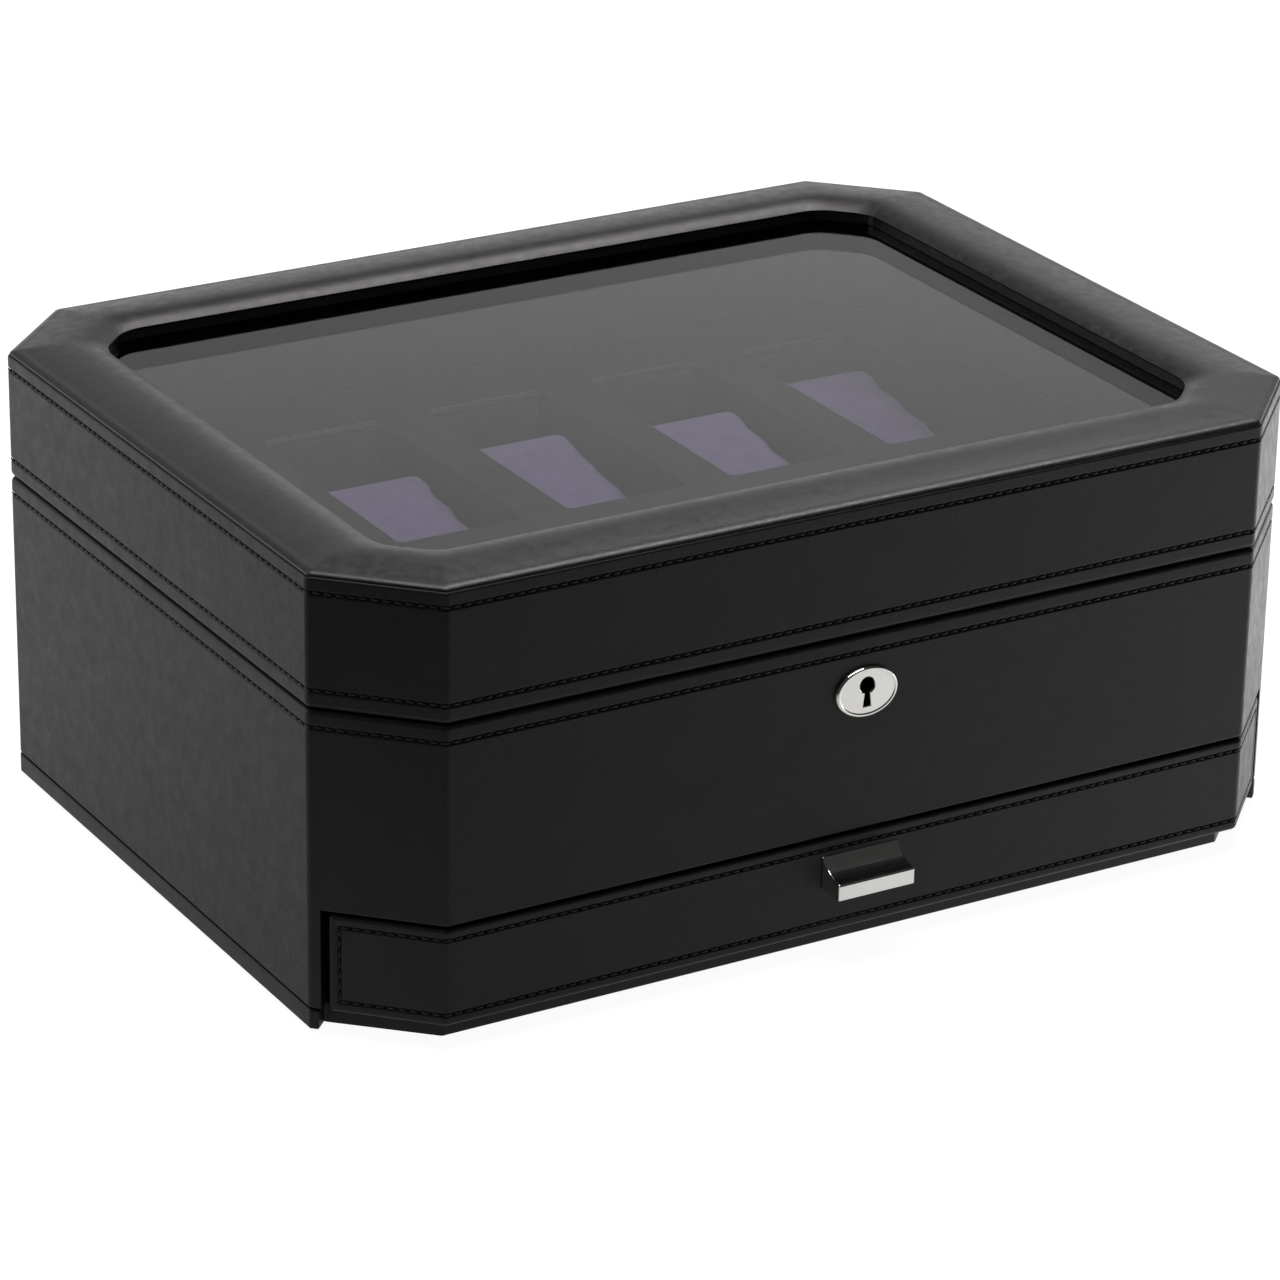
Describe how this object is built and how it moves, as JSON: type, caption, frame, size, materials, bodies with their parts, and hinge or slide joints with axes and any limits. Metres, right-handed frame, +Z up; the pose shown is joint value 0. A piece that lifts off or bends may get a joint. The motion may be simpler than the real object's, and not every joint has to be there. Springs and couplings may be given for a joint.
{
  "type": "watch box",
  "caption": "Leather-covered watch box with cut corners, hinged glazed lid over cushioned wells, front lock and a full-width drawer underneath.",
  "frame": {"origin": "centre of the underside, on the surface the box stands on", "axes": "+Z up, the front with the lock and the drawer faces -Y, +X to the right seen from the front"},
  "size_m": [0.336, 0.2742, 0.1452],
  "materials": {
    "case_leather": "black fine-grained covering leather, satin, stitched along the edges",
    "pad_leather": "black fine-grained leather stretched over padding, soft satin",
    "purple_suede": "purple suede cloth, matt with a short nap",
    "black_felt": "black felt",
    "black_board": "fibreboard covered in black paper",
    "gloss_black": "black lacquered wood, glossy",
    "window_glass": "clear flat glass",
    "polished_metal": "polished nickel plate"
  },
  "bodies": {
    "case": {"base_felt": "black_felt", "base_board": "case_leather", "side_panel_right": "case_leather", "side_panel_left": "case_leather", "front_panel": "case_leather", "back_panel": "case_leather", "shelf_board": "black_board", "floor_lining": "purple_suede", "tray_frame": "case_leather", "lock_case": "polished_metal", "escutcheon": "polished_metal", "drawer_guide_right": "black_board", "drawer_guide_left": "black_board", "hinge_leaf_case_left": "polished_metal", "hinge_leaf_case_right": "polished_metal", "hinge_pin_left": "polished_metal", "hinge_pin_right": "polished_metal", "hinge_screw_case_left_outer": "polished_metal", "hinge_screw_case_left_inner": "polished_metal", "hinge_screw_case_right_outer": "polished_metal", "hinge_screw_case_right_inner": "polished_metal"},
    "lid": {"lid_rail_front": "case_leather", "lid_rail_back": "case_leather", "lid_rail_right": "case_leather", "lid_rail_left": "case_leather", "window_frame": "gloss_black", "top_pad": "pad_leather", "glass_pane": "window_glass", "glass_retainer": "black_board", "strike_plate": "polished_metal", "hinge_leaf_lid_left": "polished_metal", "hinge_leaf_lid_right": "polished_metal", "hinge_screw_lid_left_outer": "polished_metal", "hinge_screw_lid_left_inner": "polished_metal", "hinge_screw_lid_right_outer": "polished_metal", "hinge_screw_lid_right_inner": "polished_metal"},
    "drawer": {"drawer_front": "case_leather", "drawer_side_right": "black_board", "drawer_side_left": "black_board", "drawer_back": "black_board", "drawer_bottom": "black_board", "drawer_lining": "purple_suede", "drawer_pull": "polished_metal", "pull_screw_left": "polished_metal", "pull_screw_right": "polished_metal"},
    "lock_bolt": {"lock_bolt": "polished_metal"},
    "cushion_front_1": {"cushion_front_1": "purple_suede"},
    "cushion_front_2": {"cushion_front_2": "purple_suede"},
    "cushion_front_3": {"cushion_front_3": "purple_suede"},
    "cushion_front_4": {"cushion_front_4": "purple_suede"},
    "cushion_front_5": {"cushion_front_5": "purple_suede"},
    "cushion_back_1": {"cushion_back_1": "purple_suede"},
    "cushion_back_2": {"cushion_back_2": "purple_suede"},
    "cushion_back_3": {"cushion_back_3": "purple_suede"},
    "cushion_back_4": {"cushion_back_4": "purple_suede"},
    "cushion_back_5": {"cushion_back_5": "purple_suede"}
  },
  "joints": [
    {"name": "lid_hinge", "type": "hinge", "parent": "case", "child": "lid", "pos_m": [0, 0.1319, 0.10215], "axis": [-1, 0, 0], "range_deg": [0, 95]},
    {"name": "drawer_slide", "type": "slide", "parent": "case", "child": "drawer", "axis": [0, -1, 0], "range_m": [0, 0.18]},
    {"name": "bolt_slide", "type": "slide", "parent": "case", "child": "lock_bolt", "axis": [0, 0, 1], "range_m": [0, 0.005]},
    {"name": "lift_cushion_front_1", "type": "slide", "parent": "case", "child": "cushion_front_1", "axis": [0, 0, 1], "range_m": [0, 0.03]},
    {"name": "lift_cushion_front_2", "type": "slide", "parent": "case", "child": "cushion_front_2", "axis": [0, 0, 1], "range_m": [0, 0.03]},
    {"name": "lift_cushion_front_3", "type": "slide", "parent": "case", "child": "cushion_front_3", "axis": [0, 0, 1], "range_m": [0, 0.03]},
    {"name": "lift_cushion_front_4", "type": "slide", "parent": "case", "child": "cushion_front_4", "axis": [0, 0, 1], "range_m": [0, 0.03]},
    {"name": "lift_cushion_front_5", "type": "slide", "parent": "case", "child": "cushion_front_5", "axis": [0, 0, 1], "range_m": [0, 0.03]},
    {"name": "lift_cushion_back_1", "type": "slide", "parent": "case", "child": "cushion_back_1", "axis": [0, 0, 1], "range_m": [0, 0.03]},
    {"name": "lift_cushion_back_2", "type": "slide", "parent": "case", "child": "cushion_back_2", "axis": [0, 0, 1], "range_m": [0, 0.03]},
    {"name": "lift_cushion_back_3", "type": "slide", "parent": "case", "child": "cushion_back_3", "axis": [0, 0, 1], "range_m": [0, 0.03]},
    {"name": "lift_cushion_back_4", "type": "slide", "parent": "case", "child": "cushion_back_4", "axis": [0, 0, 1], "range_m": [0, 0.03]},
    {"name": "lift_cushion_back_5", "type": "slide", "parent": "case", "child": "cushion_back_5", "axis": [0, 0, 1], "range_m": [0, 0.03]}
  ]
}
